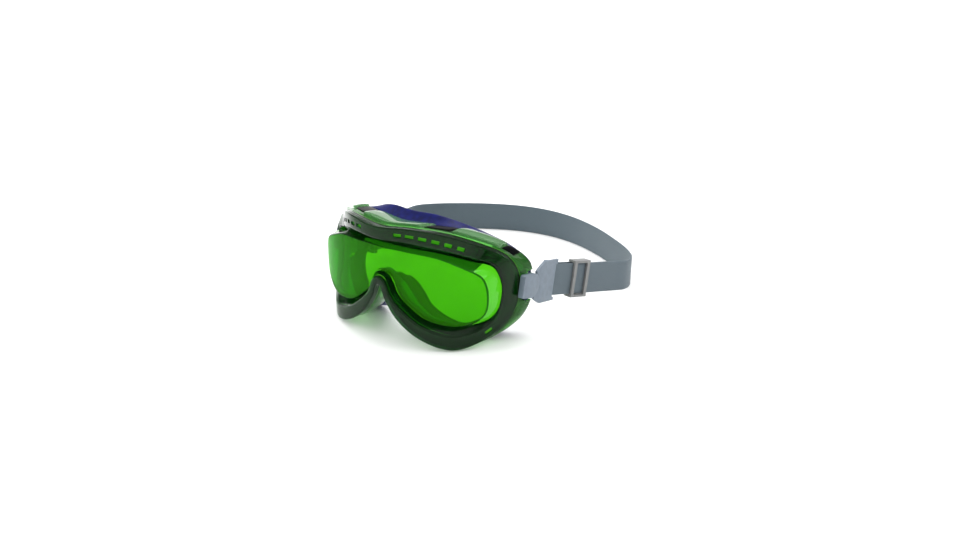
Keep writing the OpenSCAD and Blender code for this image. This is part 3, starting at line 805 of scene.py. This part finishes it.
def strap_frames():
    """(middle, width direction, thickness direction) along the left half of the headband."""
    frames = []
    local = [(LAYER * math.cos(a), LAYER * math.sin(a), math.cos(a), math.sin(a))
             for a in np.radians(np.arange(180, 361, 7.5))]
    local += [(LAYER, y, 1, 0) for y in np.linspace(1.5, RUN_L, 30)]
    for x, y, mx, my in local:
        p = from_strap((x, y, 0))
        frames.append((p, from_strap((x, y, 1)) - p, from_strap((x + mx, y + my, 0)) - p))
    points = [from_strap((LAYER, RUN_L - 8, 0)), from_strap((LAYER, RUN_L, 0))]
    points += [vec(*p) for p in BACK_ROUTE]
    per, n = 14, len(points)

    def back_at(u):
        i = int(u)
        after = points[i + 2] if i + 2 < n else mirrored(points[n - 2])
        return blend_4(points[i - 1], points[i], points[min(i + 1, n - 1)], after, u - i)
    total = len(BACK_ROUTE) * per
    for j in range(1, total + 1):
        u = 1 + j / per
        a = back_at(max(1, u - 0.05))
        b = mirrored(back_at(u - 0.05)) if j == total else back_at(u + 0.05)
        d = (b - a) / np.linalg.norm(b - a)
        share = min(1, j / (2.5 * per))
        lean = vec(0, math.sin(DROOP) * (1 - share), 1 - (1 - math.cos(DROOP)) * (1 - share))
        w = lean - d * float(lean @ d)
        w /= np.linalg.norm(w)
        frames.append((back_at(u), w, np.cross(d, w)))
    return frames


ACROSS = 12                          # steps across the strap's width


def strap_mesh(name, frames, body, nodes):
    """Flat strap along frames, with rounded selvedges and a map of real lengths."""
    half_w, half_t = STRAP_W / 2, STRAP_T / 2
    round_r = half_t * 0.95
    profile = [((half_w - round_r) * (2 * i / ACROSS - 1), half_t) for i in range(ACROSS + 1)]
    turn = [(half_w - round_r + round_r * math.sin(a), half_t * math.cos(a))
            for a in np.radians((30, 60, 90, 120, 150))]
    profile += turn
    profile += [(-w, -h) for w, h in profile]
    m = len(profile)
    along = np.cumsum([0] + [np.linalg.norm(frames[i + 1][0] - frames[i][0])
                             for i in range(len(frames) - 1)])
    points = [p + w * q[0] + h * q[1] for p, w, h in frames for q in profile]
    faces = ring_faces(len(frames), m, closed_run=False)
    faces += [tuple(range(m)), tuple((len(frames) - 1) * m + k for k in reversed(range(m)))]
    obj = make(name, points, faces, STRAP, body, nodes, "strap")
    layer = obj.data.uv_layers.new(name="strap")
    at = np.array([(along[i // m] * MM, profile[i % m][0] * MM) for i in range(len(points))])
    loops = np.array([loop.vertex_index for loop in obj.data.loops])
    layer.data.foreach_set("uv", at[loops].astype(np.float32).ravel())
    b = bmesh.new()
    b.from_mesh(obj.data)
    bmesh.ops.recalc_face_normals(b, faces=b.faces)
    b.to_mesh(obj.data)
    b.free()
    obj.data.set_sharp_from_angle(angle=math.radians(60))
    return obj


def make_headband():
    left = strap_frames()
    right = [(mirrored(p), mirrored(w), mirrored(h)) for p, w, h in reversed(left[:-1])]
    return strap_mesh("headband", left + right, "band", ["headband"])


def tail_frames(s):
    """Inner layer of the strap from the clip's bar, and its loop round the adjuster's bar.

    The loop travels with the adjuster.
    """
    flat = 16
    local = [(-LAYER, y, 1, 0) for y in np.linspace(0.3, SLIDER_AT, flat)]
    local.append((-LAYER, SLIDER_AT + 0.06, 1, 0))
    radius = SLIDER_BAR_R + 0.1 + 1.15 / 2
    local += [(SLIDER_BAR_X + radius * math.cos(a), SLIDER_AT + radius * math.sin(a),
               -math.cos(a), -math.sin(a)) for a in np.radians(np.arange(170, -1, -14))]
    frames = []
    for x, y, mx, my in local:
        p = from_strap((x, y, 0))
        item = (p, from_strap((x, y, 1)) - p, from_strap((x + mx, y + my, 0)) - p)
        frames.append(item if s > 0 else tuple(mirrored(q) for q in item))
    return frames[:flat], frames[flat:]


def stitch_group():
    """Geometry Nodes group that lays thread stitches end to end along a mesh's edges."""
    tree = bpy.data.node_groups.new("stitch_rows", "GeometryNodeTree")
    face = tree.interface
    face.new_socket("Geometry", in_out="INPUT", socket_type="NodeSocketGeometry")
    for title, value in (("Stitch pitch", 1.5 * MM), ("Stitch length", 1.25 * MM),
                         ("Thread radius", 0.17 * MM), ("Wander", 0.05 * MM)):
        face.new_socket(title, in_out="INPUT", socket_type="NodeSocketFloat") \
            .default_value = value
    face.new_socket("Seed", in_out="INPUT", socket_type="NodeSocketInt").default_value = 7
    face.new_socket("Thread", in_out="INPUT", socket_type="NodeSocketMaterial")
    face.new_socket("Geometry", in_out="OUTPUT", socket_type="NodeSocketGeometry")
    given = add(tree, "NodeGroupInput").outputs
    curve = add(tree, "GeometryNodeMeshToCurve", {"Mesh": given["Geometry"]})
    rows = add(tree, "GeometryNodeResampleCurve",
               {"Curve": curve.outputs[0], "Length": given["Stitch pitch"]}, mode="LENGTH")
    half = add(tree, "Math", {0: given["Stitch length"]}, operation="MULTIPLY")
    half.inputs[1].default_value = 0.5
    size = add(tree, "CombineXYZ", {0: given["Thread radius"], 1: given["Thread radius"],
                                    2: half.outputs[0]})
    bead = add(tree, "GeometryNodeMeshUVSphere", Segments=8, Rings=6, Radius=1.0)
    stitch = add(tree, "GeometryNodeTransform",
                 {"Geometry": bead.outputs[0], "Scale": size.outputs[0]})
    turn = add(tree, "FunctionNodeAlignRotationToVector",
               {"Vector": add(tree, "GeometryNodeInputTangent").outputs[0]}, axis="Z")
    copies = add(tree, "GeometryNodeInstanceOnPoints",
                 {"Points": rows.outputs[0], "Instance": stitch.outputs[0],
                  "Rotation": turn.outputs[0]})
    less = add(tree, "Math", {0: given["Wander"]}, operation="MULTIPLY")
    less.inputs[1].default_value = -1
    low = add(tree, "CombineXYZ", {i: less.outputs[0] for i in range(3)})
    high = add(tree, "CombineXYZ", {i: given["Wander"] for i in range(3)})
    shift = add(tree, "FunctionNodeRandomValue",
                {0: low.outputs[0], 1: high.outputs[0], "Seed": given["Seed"]},
                data_type="FLOAT_VECTOR")
    moved = add(tree, "GeometryNodeTranslateInstances",
                {"Instances": copies.outputs[0], "Translation": shift.outputs[0]})
    solid = add(tree, "GeometryNodeRealizeInstances", {"Geometry": moved.outputs[0]})
    dyed = add(tree, "GeometryNodeSetMaterial",
               {"Geometry": solid.outputs[0], "Material": given["Thread"]})
    add(tree, "NodeGroupOutput", {0: dyed.outputs[0]})
    return tree


def make_tack(name, s, group, body):
    """Bar tack across the strap's inner layer where its end is sewn back by the adjuster."""
    points, edges = [], []
    for row in range(4):
        y = SLIDER_AT - 9.5 - 0.9 * row
        for z in (-9.2, 9.2):
            p = from_strap((-LAYER - STRAP_T / 2 - 0.03, y, z))
            points.append(place(p if s > 0 else mirrored(p)))
        edges.append((2 * row, 2 * row + 1))
    mesh = bpy.data.meshes.new(name)
    mesh.from_pydata(points, edges, [])
    obj = bpy.data.objects.new(name, mesh)
    bpy.context.collection.objects.link(obj)
    step = obj.modifiers.new("stitches", "NODES")
    step.node_group = group
    named = {item.name: item.identifier for item in group.interface.items_tree
             if item.in_out == "INPUT"}
    step[named["Thread"]] = THREAD
    graph = bpy.context.evaluated_depsgraph_get()
    obj.data = bpy.data.meshes.new_from_object(obj.evaluated_get(graph))
    obj.modifiers.clear()
    return dress(obj, THREAD, body)


# ---- Assembly ---------------------------------------------------------------------

make_lens()
# Flange and skirt in a paler green: a painted glow behind the frame's windows
ring_piece("lens_flange_painted_glow", flange_section, FILTER_PAINTED_GLOW, "goggles", slot="lens")
ring_piece("lens_skirt_painted_glow", band_section, FILTER_PAINTED_GLOW, "goggles", slot="lens")
ring_piece("lens_gasket", gasket_section, GASKET, "goggles", ["lens_gasket"], "gasket")
make_shade_returns()
make_front_frame()
make_housing()
make_vents()
make_seal()
make_headband()
stitches = stitch_group()
for s, side in ((1, "left"), (-1, "right")):
    make_tack(f"strap_tack_{side}", s, stitches, f"adjuster_{side[0]}")
    broken_edges(f"tongue_{side}", f"tongue_{side}", ACETAL, "goggles", 0.5)
    broken_edges(f"pivot_pin_{side}", f"pivot_pin_{side}", PIN_STEEL, "goggles", 0.3)
    broken_edges(f"strap_clip_{side}", f"strap_clip_{side}", ACETAL, "band", 0.4)
    broken_edges(f"adjuster_{side}", f"adjuster_{side}", ACETAL_WARM,
                 f"adjuster_{side[0]}", 0.5)
    layer, loop = tail_frames(s)
    tail = strap_mesh(f"strap_tail_{side}", layer, "band", [f"strap_tail_{side}"])
    strap_mesh(f"strap_loop_{side}", loop, f"adjuster_{side[0]}", [])
    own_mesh(tail)
